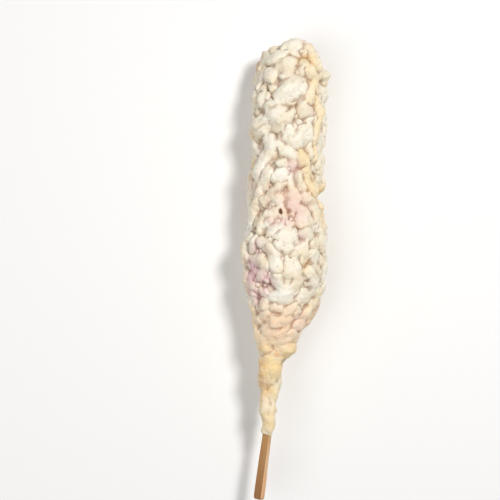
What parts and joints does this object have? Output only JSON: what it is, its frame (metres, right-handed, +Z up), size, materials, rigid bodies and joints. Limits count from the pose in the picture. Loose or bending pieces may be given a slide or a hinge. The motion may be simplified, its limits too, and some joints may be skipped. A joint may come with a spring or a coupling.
{
  "type": "corn dog",
  "caption": "Battered sausage with a craggy, crumbly crust on a flat bamboo stick, lying on its side.",
  "frame": {"origin": "on the plane that the food rests on, under the middle of the sausage", "axes": "+Y along the sausage towards its domed end, +Z up, the stick points to -Y and leans to -X"},
  "size_m": [0.0445, 0.2301, 0.0402],
  "materials": {
    "fried_batter": "matt, rough, pale cream with mauve hollows",
    "bamboo": "bare split bamboo, matt"
  },
  "bodies": {
    "root": {"crust": "fried_batter", "stick": "bamboo"}
  },
  "joints": []
}
